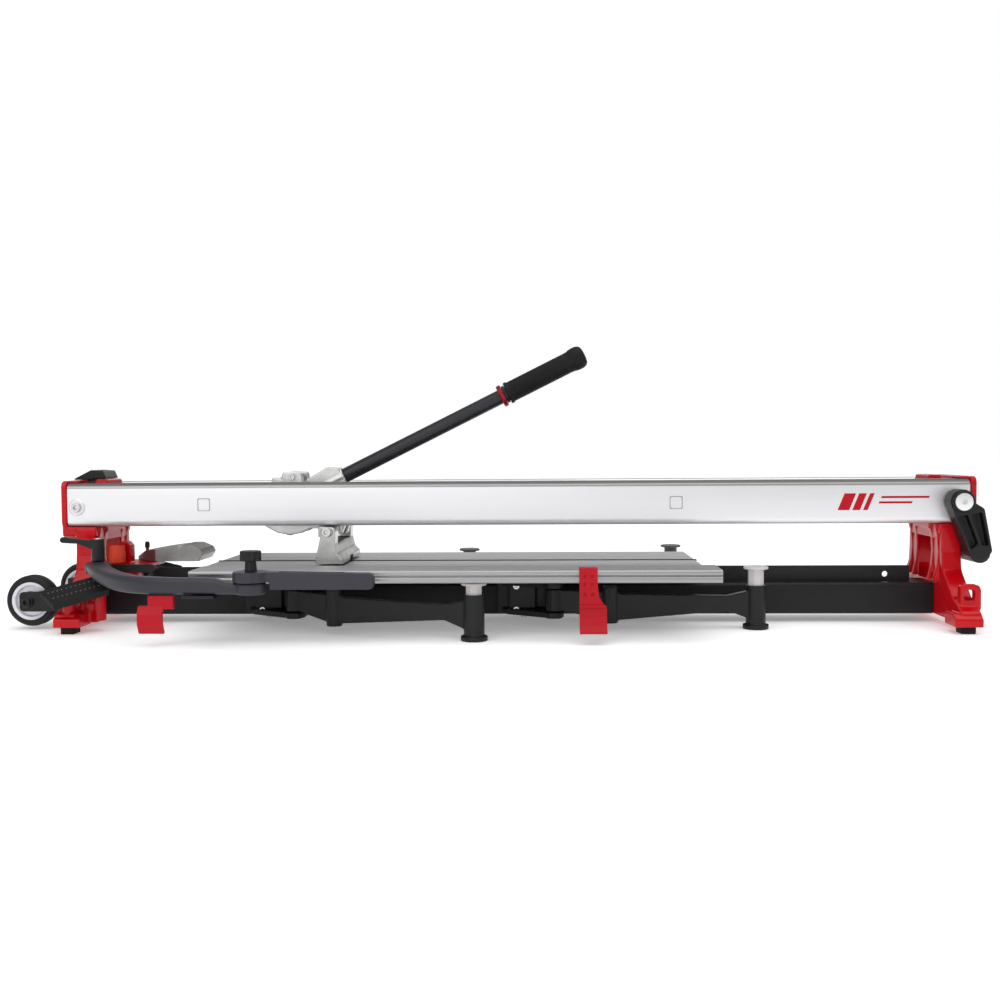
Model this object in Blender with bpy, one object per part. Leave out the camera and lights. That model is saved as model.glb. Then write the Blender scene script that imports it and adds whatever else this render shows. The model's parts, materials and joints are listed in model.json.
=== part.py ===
"""Long manual tile cutter: two aluminium guides between cast ends, a rolling carriage with a lever,
a beam with tilting tables, four swing-out support arms, a lateral stop and transport wheels.

Sizes are in millimetres in the machine's own frame: X along the guides, -Y towards the user, Z up
from the floor. FRAME_SHIFT moves that frame so that the origin is below the middle of the machine.
"""
from math import atan2, cos, pi, radians, sin

import bmesh
import bpy
from mathutils import Matrix, Vector

MM = 0.001
FRAME_SHIFT = Vector((0.02767, -0.00842, 0.0))
GAP = 0.3                       # clearance kept between neighbouring pieces

# guides
GUIDE_END = 598.0
GUIDE_LOW, GUIDE_HIGH = 134.4, 192.4
GUIDE_OUTER, GUIDE_INNER = 62.0, 32.0
GUIDE_WALL = 3.0
GROOVE_LOW, GROOVE_HIGH, GROOVE_DEPTH = 154.0, 172.8, 8.5
# beam and breaking strip
BEAM_END, BEAM_HALF = 562.5, 33.0
BEAM_LOW, BEAM_HIGH, BEAM_WALL = 11.3, 52.7, 3.0
STRIP_END, STRIP_HALF, STRIP_TOP = 541.0, 2.0, 73.3
STRIP_HOLE_X, STRIP_HOLE_Z = 508.0, 61.5
RIDGE_TOP = 82.4
# tables
TABLE_LEFT, TABLE_RIGHT = -410.0, 250.0
TABLE_EDGE, TABLE_TOP, TABLE_PLATE = 125.0, 81.4, 5.0
TABLE_RIB_LOW = 69.4
TABLE_PIVOT = (6.3, 76.2)       # distance from the middle plane, height
TABLE_GROOVES = (20.0, 50.0, 80.0, 110.0)
SPRING_XS, SPRING_HALF, SPRING_TOP = (-330.0, -80.0, 170.0), 14.0, 67.8
# cast ends
LEG_NEAR, LEG_FAR, CAST_END = 562.0, 587.0, 606.0
FOOT_X, FOOT_Y = 573.0, 118.0
# carriage and lever
PIVOT_X, PIVOT_Z = -278.0, 176.5
LEVER_ANGLE = radians(26.3)
LEVER_START = (-231.0, 201.0)
TUBE_RADIUS, GRIP_RADIUS = 10.0, 14.4
TUBE_LENGTH, COLLAR_LENGTH, GRIP_LENGTH = 239.0, 11.0, 118.0
ROLLER_XS, ROLLER_Z, ROLLER_RADIUS = (-335.0, -228.0), 163.4, 8.0
SCORE_X, SCORE_Z, SCORE_RADIUS = -311.0, 128.0, 11.0
BREAKER_X, BREAKER_Z = -244.5, 127.0
# support arms: hinge, swing angle away from the guides, height of the cap's top
ARM_SHORT, ARM_LONG, ARM_BEND = 75.0, 190.0, radians(20.0)
ARM_HINGE_Y, ARM_TOP = 77.0, 57.0
ARM_FOOT_RADIUS, ARM_LEG_RADIUS = 17.0, 13.0
BRACKET_FACE, HINGE_PIN = 41.0, 4.0
POST_RADIUS, POST_LENGTH, CAP_RADIUS, CAP_THICK = 10.4, 51.4, 15.8, 3.5
ARMS = {
    "front_left": (-288.0, -1, 21.5, 72.0),
    "front_right": (55.0, -1, 1.5, 81.4),
    "rear_left": (-310.0, 1, 25.0, 81.4),
    "rear_right": (42.0, 1, 39.0, 81.4),
}
# transport wheels
WHEEL_X, WHEEL_Y, WHEEL_Z, WHEEL_RADIUS, WHEEL_WIDTH = -638.0, 81.0, 38.0, 34.0, 22.0
AXLE_RADIUS = 5.0
OUTER_ARM_NEAR, OUTER_ARM_FAR = 93.8, 98.0
# lateral stop
STOP_HUB = (-542.0, -100.0)
FINGER_HUB = (-308.0, -220.0)
STUD_RADIUS = 4.0
RAIL_LEFT, RAIL_RIGHT, RAIL_NEAR, RAIL_FAR, RAIL_TOP = -392.0, 256.0, -195.0, -134.0, 88.5
# mitre stop
MITRE_PIN = (-513.0, 0.0)
LOCK_KNOB = (-538.0, -46.0)
# carrying handle
HANDLE_X, HANDLE_Z, HANDLE_NEAR, HANDLE_FAR = 579.0, 164.0, 65.0, 89.0
BAR_X, BAR_Z, BAR_RADIUS = 602.0, 97.5, 13.0

COLOURS = {
    "red_paint": ((0.55, 0.012, 0.02), 0.25, 0.0),
    "aluminium": ((0.80, 0.81, 0.82), 0.35, 0.9),
    "black_paint": ((0.02, 0.02, 0.022), 0.4, 0.0),
    "black_plastic": ((0.022, 0.022, 0.024), 0.5, 0.0),
    "grey_plastic": ((0.09, 0.095, 0.12), 0.45, 0.0),
    "light_plastic": ((0.62, 0.60, 0.60), 0.5, 0.0),
    "red_plastic": ((0.42, 0.01, 0.02), 0.4, 0.0),
    "orange_plastic": ((0.75, 0.10, 0.03), 0.4, 0.0),
    "rubber": ((0.015, 0.015, 0.015), 0.8, 0.0),
    "cast_metal": ((0.55, 0.55, 0.53), 0.35, 0.9),
    "steel": ((0.60, 0.60, 0.62), 0.25, 1.0),
}


# ---------------------------------------------------------------- modelling helpers
def clear_scene():
    for old in list(bpy.data.objects):
        bpy.data.objects.remove(old, do_unlink=True)


def material(slot):
    if slot in bpy.data.materials:
        return bpy.data.materials[slot]
    colour, roughness, metallic = COLOURS[slot]
    made = bpy.data.materials.new(slot)
    made.use_nodes = True
    shader = made.node_tree.nodes["Principled BSDF"]
    shader.inputs["Base Color"].default_value = (*colour, 1.0)
    shader.inputs["Roughness"].default_value = roughness
    shader.inputs["Metallic"].default_value = metallic
    return made


def shape(mesh_builder):
    """A temporary object from a bmesh in millimetres, with its faces pointing out."""
    bmesh.ops.recalc_face_normals(mesh_builder, faces=mesh_builder.faces)
    mesh = bpy.data.meshes.new("shape")
    mesh_builder.to_mesh(mesh)
    mesh_builder.free()
    made = bpy.data.objects.new("shape", mesh)
    bpy.context.scene.collection.objects.link(made)
    return made


AXES = {
    "X": Matrix(((0, 0, 1), (1, 0, 0), (0, 1, 0))),     # outline in (Y, Z)
    "Y": Matrix(((1, 0, 0), (0, 0, 1), (0, 1, 0))),     # outline in (X, Z)
    "Z": Matrix.Identity(3),                            # outline in (X, Y)
}


def prism(outline, axis, low, high):
    """An outline extruded along an axis; corners may carry a fillet radius as a third value."""
    points = rounded(outline) if any(len(corner) == 3 for corner in outline) else outline
    turn = AXES[axis]
    built = bmesh.new()
    rings = [[built.verts.new(turn @ Vector((a, b, level))) for a, b in points] for level in (low, high)]
    built.faces.new(rings[0])
    built.faces.new(rings[1])
    count = len(points)
    for i in range(count):
        j = (i + 1) % count
        built.faces.new((rings[0][i], rings[0][j], rings[1][j], rings[1][i]))
    return shape(built)


def rounded(outline, steps=2):
    """The outline with an arc at every corner that has a radius."""
    points = []
    count = len(outline)
    for i, corner in enumerate(outline):
        here = Vector(corner[:2])
        radius = corner[2] if len(corner) == 3 else 0.0
        if not radius:
            points.append((here.x, here.y))
            continue
        before = (Vector(outline[i - 1][:2]) - here).normalized()
        after = (Vector(outline[(i + 1) % count][:2]) - here).normalized()
        half = before.angle(after) / 2
        reach = radius / abs(sin(half) / cos(half))
        centre = here + (before + after).normalized() * radius / sin(half)
        start = here + before * reach - centre
        sweep = start.angle_signed(here + after * reach - centre)
        for k in range(steps + 1):
            turned_by = -sweep * k / steps
            c, s = cos(turned_by), sin(turned_by)
            points.append((centre.x + start.x * c - start.y * s, centre.y + start.x * s + start.y * c))
    return points


def box(low, high):
    (x0, y0, z0), (x1, y1, z1) = low, high
    return prism([(x0, y0), (x1, y0), (x1, y1), (x0, y1)], "Z", z0, z1)


def side_box(sign, x_range, near, far, z_range):
    """A box on one side of the middle plane, between two distances from it."""
    y0, y1 = spread(sign, near, far)
    return box((x_range[0], y0, z_range[0]), (x_range[1], y1, z_range[1]))


def circle(centre, radius, steps):
    return [(centre[0] + radius * cos(2 * pi * k / steps),
             centre[1] + radius * sin(2 * pi * k / steps)) for k in range(steps)]


def rod(centre, radius, axis, low, high, steps=14):
    """A cylinder along an axis; centre holds the two other coordinates."""
    return prism(circle(centre, radius, steps), axis, low, high)


def turned(profile, base, direction, steps=14):
    """A closed profile of (radius, distance) turned about a line from base along direction."""
    frame = Vector(direction).to_track_quat("Z", "Y").to_matrix()
    built = bmesh.new()
    rings = []
    for radius, distance in profile:
        if radius == 0:
            rings.append([built.verts.new(Vector(base) + frame @ Vector((0, 0, distance)))])
            continue
        rings.append([built.verts.new(Vector(base) + frame @ Vector((a, b, distance)))
                      for a, b in circle((0, 0), radius, steps)])
    closed = profile[0][0] > 0
    pairs = list(zip(rings, rings[1:])) + ([(rings[-1], rings[0])] if closed else [])
    for first, second in pairs:
        for i in range(steps):
            j = (i + 1) % steps
            corners = [first[0]] if len(first) == 1 else [first[i], first[j]]
            corners += [second[0]] if len(second) == 1 else [second[j], second[i]]
            built.faces.new(corners)
    return shape(built)


def block(top_corners, depth):
    """A four-sided slab below four corners given in order."""
    built = bmesh.new()
    upper = [built.verts.new(corner) for corner in top_corners]
    lower = [built.verts.new(Vector(corner) - Vector((0, 0, depth))) for corner in top_corners]
    built.faces.new(upper)
    built.faces.new(lower)
    for i in range(4):
        j = (i + 1) % 4
        built.faces.new((upper[i], upper[j], lower[j], lower[i]))
    return shape(built)


def swept_bar(stations):
    """A bar through stations of (x, y, low, high, half width), square to its course in plan."""
    built = bmesh.new()
    rings = []
    for i, (x, y, low, high, half) in enumerate(stations):
        before, after = stations[max(i - 1, 0)], stations[min(i + 1, len(stations) - 1)]
        course = Vector((after[0] - before[0], after[1] - before[1])).normalized()
        side = Vector((-course.y, course.x)) * half
        rings.append([built.verts.new((x + s * side.x, y + s * side.y, z))
                      for s, z in ((1, low), (1, high), (-1, high), (-1, low))])
    built.faces.new(rings[0])
    built.faces.new(rings[-1])
    for first, second in zip(rings, rings[1:]):
        for i in range(4):
            j = (i + 1) % 4
            built.faces.new((first[i], first[j], second[j], second[i]))
    return shape(built)


def combine(base, others, operation):
    """The base joined with, or cut by, the other shapes, which are used up."""
    for other in others:
        tool = base.modifiers.new("tool", "BOOLEAN")
        tool.object = other
        tool.operation = operation
    evaluated = base.evaluated_get(bpy.context.evaluated_depsgraph_get())
    result = bpy.data.meshes.new_from_object(evaluated)
    base.modifiers.clear()
    base.data = result
    for other in others:
        bpy.data.objects.remove(other, do_unlink=True)
    return base


def join(base, *others):
    return combine(base, others, "UNION")


def cut(base, *others):
    return combine(base, others, "DIFFERENCE")


def finish(piece, name, slot, origin=(0.0, 0.0, 0.0)):
    """Name a shape as a sub-part, in metres, with its origin at a point given in millimetres."""
    pivot = Vector(origin)
    piece.data.transform(Matrix.Scale(MM, 4) @ Matrix.Translation(-pivot))
    piece.location = pivot * MM + FRAME_SHIFT
    piece.name = name
    piece.data.name = name
    piece.data.materials.clear()
    piece.data.materials.append(material(slot))
    piece.data.shade_smooth()
    piece.data.set_sharp_from_angle(angle=radians(35))
    return piece


def mirrored(outline, sign):
    """An outline with its first coordinate times sign."""
    return [(sign * corner[0], *corner[1:]) for corner in outline]


def spread(sign, near, far):
    """Two coordinates in rising order, at near and far from the middle plane."""
    return sorted((sign * near, sign * far))


# ---------------------------------------------------------------- frame
def make_beam():
    half, inner = BEAM_HALF, BEAM_HALF - BEAM_WALL
    low, high = BEAM_LOW, BEAM_HIGH
    beam = prism([(-half, low, 4), (half, low, 4), (half, high, 4), (-half, high, 4)], "X", -BEAM_END,
                 BEAM_END)
    low, high = low + BEAM_WALL, high - BEAM_WALL
    hollow = prism([(-inner, low), (inner, low), (inner, high), (-inner, high)], "X", -BEAM_END - 5,
                   BEAM_END + 5)
    finish(cut(beam, hollow), "beam", "black_paint")


def make_breaking_strip():
    base = BEAM_HIGH + GAP
    left, right = TABLE_LEFT - 2, TABLE_RIGHT + 2
    outline = [(-STRIP_END, base), (STRIP_END, base), (STRIP_END, STRIP_TOP), (right, STRIP_TOP),
               (right, RIDGE_TOP), (left, RIDGE_TOP), (left, STRIP_TOP), (-STRIP_END, STRIP_TOP)]
    strip = prism(outline, "Y", -STRIP_HALF, STRIP_HALF)
    holes = [rod((x, STRIP_HOLE_Z), 4.0, "Y", -9, 9, 12) for x in (-STRIP_HOLE_X, STRIP_HOLE_X)]
    finish(cut(strip, *holes), "breaking_strip", "steel")


def make_guide(side, sign):
    outer, inner = sign * GUIDE_OUTER, sign * GUIDE_INNER
    groove = sign * (GUIDE_INNER + GROOVE_DEPTH)
    outline = [(outer, GUIDE_LOW, 8), (outer, GUIDE_HIGH, 8), (inner, GUIDE_HIGH, 3), (inner, GROOVE_HIGH),
               (groove, GROOVE_HIGH), (groove, GROOVE_LOW), (inner, GROOVE_LOW), (inner, GUIDE_LOW, 3)]
    body = prism(outline, "X", -GUIDE_END, GUIDE_END)
    near, far = sign * (GUIDE_INNER + GROOVE_DEPTH + GUIDE_WALL), sign * (GUIDE_OUTER - GUIDE_WALL)
    low, high = GUIDE_LOW + GUIDE_WALL, GUIDE_HIGH - GUIDE_WALL
    core = prism([(near, low, 2), (far, low, 5), (far, high, 5), (near, high, 2)], "X", -GUIDE_END - 5,
                 GUIDE_END + 5)
    bolt_hole = rod((HANDLE_X, HANDLE_Z), AXLE_RADIUS + 0.6, "Y", *spread(sign, 20, 80))
    finish(cut(body, core, bolt_hole), side + "_guide", "aluminium")


def casting_leg(sign):
    """One splayed leg of a cast end, seen along the guides."""
    outline = [(32, 130), (62, 130), (63, 96), (66, 74, 14), (100, 43, 14), (132, 27, 5), (136, 10),
               (104, 10),
               (84, 22), (64, 42), (46, 56), (32, 74)]
    return mirrored(outline, sign)


def make_casting(side, sign):
    """A cast end: socket between the guides, shelf, two legs, web over the beam and an end cap."""
    def across(near, far):
        return spread(sign, near, far)

    x0, x1 = across(LEG_NEAR - 2, CAST_END)
    shelf = prism([(-61.5, 134.0), (61.5, 134.0), (61.5, 122, 3), (40, 114, 6), (-40, 114, 6),
                   (-61.5, 122, 3)],
                  "X", x0, x1)
    x0, x1 = across(LEG_NEAR, LEG_FAR)
    legs = [prism(casting_leg(way), "X", x0, x1) for way in (-1, 1)]
    web = prism([(-90, 12), (90, 12), (84, 40), (60, 57), (-60, 57), (-84, 40)], "X", x0 + 1, x1 - 1)
    gusset = mirrored([(LEG_NEAR + 2, 133), (556, 133), (559.5, 118), (561, 97), (559.5, 76), (555, 58),
                       (LEG_NEAR + 2, 58)], sign)
    fins = [prism(gusset, "Y", *spread(way, near, near + 8)) for way in (-1, 1) for near in (26, 46)]
    x0, x1 = across(556, CAST_END)
    socket = prism([(-31.4, 126), (31.4, 126), (31.4, 191, 3), (-31.4, 191, 3)], "X", x0, x1)
    crest = prism(mirrored([(556, 186), (577, 186), (573, 197.5, 2), (557, 197.5, 2)], sign), "Y", -26, 26)
    x0, x1 = across(GUIDE_END + 0.6, CAST_END)
    cap = prism([(-64, 132, 8), (64, 132, 8), (64, 196, 8), (-64, 196, 8)], "X", x0, x1)
    x0, x1 = across(587, CAST_END - 1)
    lip = prism([(-52, 192.8), (52, 192.8), (50, 196), (-50, 196)], "X", x0, x1)
    x0, x1 = across(LEG_NEAR - 9, LEG_FAR + 1)
    pads = [prism(mirrored([(100, 9.4), (137, 9.4), (137, 20, 3), (128, 26, 4), (100, 26)], way), "X", x0, x1)
            for way in (-1, 1)]
    casting = join(shelf, *legs, web, *fins, socket, crest, cap, lip, *pads)
    if side == "right":
        lug = prism([(566, 24), (592, 24, 6), (592, 61, 7), (566, 61, 4)], "Y", -118, -106)
        lug_hole = prism([(571, 40, 3), (584, 40, 3), (584, 54, 3), (571, 54, 3)], "Y", -125, -105.5)
        bores = [rod((HANDLE_X, HANDLE_Z), AXLE_RADIUS + 0.4, "Y", *spread(way, 20, 40)) for way in (-1, 1)]
        casting = cut(join(casting, lug), lug_hole, *bores)
    else:
        x, y = STOP_HUB
        post = rod(STOP_HUB, 9.0, "Z", 14, 76)
        gusset = box((-LEG_NEAR - 2, y - 8, 12), (x, y + 8, 38))
        treads = [rod((-572, way * 124), 8.0, "Z", 18, 44) for way in (-1, 1)]
        stud = rod(STOP_HUB, STUD_RADIUS, "Z", 60, 91.4, 16)
        casting = join(casting, post, gusset, stud, *treads)
    finish(casting, side + "_casting", "red_paint")


def make_foot(name, x, y):
    outline = [(x - 9.5, y - 12, 4), (x + 9.5, y - 12, 4), (x + 9.5, y + 12, 4), (x - 9.5, y + 12, 4)]
    finish(prism(outline, "Z", 0.0, 9.0), name, "rubber")


def make_pivot_bar(side, sign):
    """The bar on the beam that carries a table, with two soft blocks that push the table level."""
    low = BEAM_HIGH + GAP
    bar = side_box(sign, (TABLE_LEFT + 10, TABLE_RIGHT - 10), 2.6, 10, (low, 75.8))
    springs = [side_box(sign, (x - SPRING_HALF, x + SPRING_HALF), 9, 31, (low, SPRING_TOP))
               for x in SPRING_XS]
    finish(join(bar, *springs), side + "_pivot_bar", "black_plastic")


def make_table(side, sign):
    """A grooved aluminium table on ribs, which tips on its inner edge."""
    outline = [(2.8, TABLE_TOP)]
    for groove in TABLE_GROOVES:
        outline += [(groove - 1, TABLE_TOP), (groove - 1, TABLE_TOP - 1.2),
                    (groove + 1, TABLE_TOP - 1.2), (groove + 1, TABLE_TOP)]
    under = TABLE_TOP - TABLE_PLATE
    outline += [(TABLE_EDGE, TABLE_TOP, 1.5), (TABLE_EDGE, TABLE_RIB_LOW), (TABLE_EDGE - 4, TABLE_RIB_LOW),
                (TABLE_EDGE - 4, under), (80, under), (80, TABLE_RIB_LOW), (76, TABLE_RIB_LOW), (76, under),
                (30, under), (30, TABLE_RIB_LOW), (14, TABLE_RIB_LOW), (14, under), (2.8, under)]
    table = prism(mirrored(outline, sign), "X", TABLE_LEFT, TABLE_RIGHT)
    origin = ((TABLE_LEFT + TABLE_RIGHT) / 2, sign * TABLE_PIVOT[0], TABLE_PIVOT[1])
    finish(table, side + "_table", "aluminium", origin)


def make_bumper():
    outline = [(-606, 196.6), (-560, 196.6), (-561.5, 201), (-565, 208.8), (-582, 210), (-604, 199)]
    bumper = prism(outline, "Y", -22, 22)
    slot = box((-579, -30, 196), (-545, 30, 198))
    finish(cut(bumper, slot), "carriage_bumper", "black_plastic")


def make_step_pad(side, sign):
    """A tilted tread over the foot of the left end, with rows of small studs."""
    corners = [(-613, sign * 118, 55), (-581, sign * 148, 41.5), (-511, sign * 142, 60.5),
               (-543, sign * 112, 74)]
    finish(block(corners, 8.0), side + "_step_pad", "rubber")


def make_wheel_bracket():
    """The plate behind the wheels, with an arm on both sides of each; the inner arms hold the axle."""
    near, far = -LEG_FAR - 1.6, WHEEL_X - 12
    plate = box((near - 9.4, -OUTER_ARM_FAR, 24), (near, OUTER_ARM_FAR, 52))
    inner = [side_box(way, (far, near), 50, 64, (24, 52)) for way in (-1, 1)]
    outline = [(near, 26), (near, 50), (WHEEL_X + 20, 52), (WHEEL_X + 4, 51, 4), (WHEEL_X - 12, 51, 5),
               (WHEEL_X - 12, 25, 5), (WHEEL_X + 14, 25)]
    outer = [prism(outline, "Y", *spread(way, OUTER_ARM_NEAR, OUTER_ARM_FAR)) for way in (-1, 1)]
    nuts = [rod((WHEEL_X, WHEEL_Z), 8.0, "Y", *spread(way, OUTER_ARM_FAR - 1, OUTER_ARM_FAR + 4), 12)
            for way in (-1, 1)]
    bore = rod((WHEEL_X, WHEEL_Z), AXLE_RADIUS + GAP, "Y", -80, 80)
    finish(cut(join(plate, *inner, *outer, *nuts), bore), "wheel_bracket", "black_plastic")


def make_wheels():
    axle_end = OUTER_ARM_NEAR - GAP
    finish(rod((WHEEL_X, WHEEL_Z), AXLE_RADIUS, "Y", -axle_end, axle_end), "wheel_axle", "steel")
    half = WHEEL_WIDTH / 2
    bore = AXLE_RADIUS + GAP
    profile = [(bore, -half + 2), (bore, half - 2), (15, half - 2), (16, half - 6), (23, half - 6),
               (24, half),
               (WHEEL_RADIUS - 4, half), (WHEEL_RADIUS, half - 5), (WHEEL_RADIUS, -half + 5),
               (WHEEL_RADIUS - 4, -half), (24, -half), (23, -half + 6), (16, -half + 6), (15, -half + 2)]
    for side, sign in (("front", -1), ("rear", 1)):
        centre = (WHEEL_X, sign * WHEEL_Y, WHEEL_Z)
        finish(turned(profile, centre, (0, 1, 0), 24), side + "_wheel", "rubber", centre)


# ---------------------------------------------------------------- carriage
def make_carriage():
    """Side plates between the guides, two bridges, a cross yoke, the lever's pin and the bolts."""
    plate = [(-350, 188, 3), (-350, 140), (-336, 130), (-322, 122.5), (-305, 119.7), (-288, 122.5),
             (-277, 128.5),
             (-266, 128.5), (-262, 121), (-234, 121), (-228, 136), (-214, 140), (-214, 188, 3), (-286, 188),
             (-289, 206, 4), (-314, 206, 4), (-316, 196), (-328, 199, 2), (-331, 188)]
    plates = [prism(plate, "Y", *spread(way, 14, 27)) for way in (-1, 1)]
    bridges = [box((-349.5, -20, 140), (-332, 20, 186)), box((-226, -20, 142), (-214.5, 20, 160))]
    pin = rod((PIVOT_X, PIVOT_Z), 5.0, "Y", -20, 20, 16)
    sleeve = cut(box((-322, -20, 150), (-300, 20, 172)), box((-318.4, -9.4, 140), (-303.6, 9.4, 180)),
                 box((-330, -3.2, 140), (-290, 3.2, 180)))
    body = join(plates[0], plates[1], *bridges, sleeve, pin)
    bolts = [rod((BREAKER_X, BREAKER_Z), 3.8, "Y", *spread(way, 45, 76), 16) for way in (-1, 1)]
    heads = [rod((BREAKER_X, BREAKER_Z), 6.8, "Y", *spread(way, 73, 79), 18) for way in (-1, 1)]
    axles = [rod((x, ROLLER_Z), 2.4, "Y", *spread(way, 25, 38.5), 12) for x in ROLLER_XS for way in (-1, 1)]
    yoke = [side_box(way, (-262, -236), 15, 48, (118.5, 133.2)) for way in (-1, 1)]
    tie = box((-262, -16, 119.5), (-254, 16, 128))
    body = join(body, *yoke, tie, *bolts, *heads, *axles)
    finish(body, "carriage_body", "cast_metal", (-282, 0, ROLLER_Z))
    for x, end in zip(ROLLER_XS, ("left", "right")):
        for side, sign in (("front", -1), ("rear", 1)):
            centre = (x, sign * 32.9, ROLLER_Z)
            profile = [(2.8, -3.6), (2.8, 3.6), (6, 3.6), (ROLLER_RADIUS, 2.8), (ROLLER_RADIUS, -2.8),
                       (6, -3.6)]
            finish(turned(profile, centre, (0, 1, 0)), side + "_" + end + "_roller", "steel", centre)


def make_scoring_unit():
    shank = box((-318, -9, 134), (-304, 9, 190))
    cheeks = [side_box(way, (-318, -304), 3, 7, (122, 142)) for way in (-1, 1)]
    slot = box((-330, -2.9, 100), (-290, 2.9, SCORE_Z + SCORE_RADIUS + 1))
    axle = rod((SCORE_X, SCORE_Z), 1.6, "Y", -6.5, 6.5, 12)
    holder = join(cut(join(shank, *cheeks), slot), axle)
    finish(holder, "scoring_holder", "steel", (SCORE_X, 0, SCORE_Z))
    profile = [(2.0, -2), (2.0, 2), (7, 2), (SCORE_RADIUS, 0.4), (SCORE_RADIUS, -0.4), (7, -2)]
    centre = (SCORE_X, 0, SCORE_Z)
    finish(turned(profile, centre, (0, 1, 0)), "scoring_wheel", "steel", centre)


def make_breaker():
    """The pressing foot on its two bolts: two columns over one broad shoe, relieved over the scored line."""
    column = [(-254, 133, 5), (-234, 133, 5), (-235, 112), (-232, 98, 4), (-225, 91, 2), (-225, 84),
              (-262, 84, 2),
              (-259, 100), (-255, 118)]
    columns = [prism(column, "Y", *spread(way, 50, 72)) for way in (-1, 1)]
    shoe = prism([(-256, 111, 3), (-235, 111, 3), (-232, 98, 4), (-225, 91, 2), (-225, 84), (-262, 84, 2),
                  (-259, 100)],
                 "Y", -60, 60)
    holes = [rod((BREAKER_X, BREAKER_Z), 4.2, "Y", *spread(way, 40, 90), 16) for way in (-1, 1)]
    relief = prism([(-16, 80), (16, 80), (11, 90, 2), (-11, 90, 2)], "X", -280, -200)
    foot = cut(join(shoe, *columns), *holes, relief)
    finish(foot, "breaker_foot", "cast_metal", (BREAKER_X, 0, BREAKER_Z))


def make_lever():
    pivot = (PIVOT_X, 0, PIVOT_Z)
    course = (cos(LEVER_ANGLE), 0, sin(LEVER_ANGLE))
    start = (LEVER_START[0], 0, LEVER_START[1])
    hub = rod((PIVOT_X, PIVOT_Z), 13.0, "Y", -12, 12)
    arm = prism([(-290, 180), (-293, 190.5, 3), (-256, 212, 5), (-240.5, 211, 3), (-229, 189), (-262, 170),
                 (-270, 166)], "Y", -12.5, 12.5)
    seat = turned([(0, -34), (13.4, -34), (13.4, -2), (0, -2)], start, course)
    casting = join(arm, hub, seat)
    bore = rod((PIVOT_X, PIVOT_Z), 5.4, "Y", -30, 30, 16)
    socket = turned([(0, -26), (TUBE_RADIUS + GAP, -26), (TUBE_RADIUS + GAP, 30), (0, 30)], start, course)
    finish(cut(casting, bore, socket), "lever_casting", "cast_metal", pivot)
    tube_end = TUBE_LENGTH + COLLAR_LENGTH + GRIP_LENGTH - 12
    tube = turned([(TUBE_RADIUS - 2, -25), (TUBE_RADIUS, -25), (TUBE_RADIUS, tube_end),
                   (TUBE_RADIUS - 2, tube_end)],
                  start, course)
    finish(tube, "lever_tube", "black_paint", pivot)
    bore = TUBE_RADIUS + GAP
    end = TUBE_LENGTH + COLLAR_LENGTH
    collar = [(bore, TUBE_LENGTH), (bore, end - GAP), (12.5, end - GAP), (12.5, end - 4), (15.6, end - 5),
              (15.6, TUBE_LENGTH + 1), (14, TUBE_LENGTH)]
    finish(turned(collar, start, course), "grip_collar", "red_paint", pivot)
    tip = end + GRIP_LENGTH
    grip = [(bore, end), (15.4, end), (15.4, end + 4), (GRIP_RADIUS, end + 6), (GRIP_RADIUS - 0.6, end + 60),
            (GRIP_RADIUS, tip - 22), (16, tip - 12), (15.4, tip - 3), (11, tip), (0, tip), (0, tip - 8),
            (bore, tip - 8)]
    finish(open_turned(grip, start, course), "lever_grip", "rubber", pivot)


def open_turned(profile, base, direction):
    """A turned cup: the profile runs from its mouth round the outside to the axis and back inside."""
    split = [i for i, (radius, _) in enumerate(profile) if radius == 0]
    outer = turned([(0, profile[0][1])] + profile[1:split[0] + 1], base, direction)
    mouth, floor = profile[0][1], profile[split[1]][1]
    bore = profile[0][0]
    return cut(outer, turned([(0, mouth - 5), (bore, mouth - 5), (bore, floor), (0, floor)], base, direction))


# ---------------------------------------------------------------- support arms
def arm_points(hinge_x, sign, swing):
    """Hinge, middle leg and far leg of an arm, in plan."""
    reach = (ARM_SHORT ** 2 + ARM_LONG ** 2 + 2 * ARM_SHORT * ARM_LONG * cos(ARM_BEND)) ** 0.5
    lead = atan2(ARM_LONG * sin(ARM_BEND), ARM_SHORT + ARM_LONG * cos(ARM_BEND))
    first = radians(swing) + lead
    middle = (hinge_x + ARM_SHORT * cos(first), sign * (ARM_HINGE_Y + ARM_SHORT * sin(first)))
    far = (hinge_x + reach * cos(radians(swing)), sign * (ARM_HINGE_Y + reach * sin(radians(swing))))
    return (hinge_x, sign * ARM_HINGE_Y), middle, far


def make_bracket(name, hinge_x, sign):
    """The hinge bracket on the beam: a bolted plate, two knuckles and the hinge pin."""
    y = sign * ARM_HINGE_Y
    root = sign * (BEAM_HALF + 3.4)
    plate = side_box(sign, (hinge_x - 76, hinge_x + 14), BEAM_HALF + 0.4, BRACKET_FACE, (14, 60))
    outline = [(hinge_x - 74, root), (hinge_x - 62, sign * 50), (hinge_x - 13, y + sign * 4, 6),
               (hinge_x - 8, y + sign * 13, 5), (hinge_x + 8, y + sign * 13, 5), (hinge_x + 13, y, 5),
               (hinge_x + 13, root)]
    knuckles = [prism(outline, "Z", low, low + 8) for low in (13.5, 52.5)]
    rib = side_box(sign, (hinge_x - 60, hinge_x - 24), BRACKET_FACE - 3, 50, (15, 58))
    pin = rod((hinge_x, y), HINGE_PIN, "Z", 14, 60, 12)
    bracket = join(plate, *knuckles, rib, pin)
    finish(bracket, name + "_bracket", "black_plastic")


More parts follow.
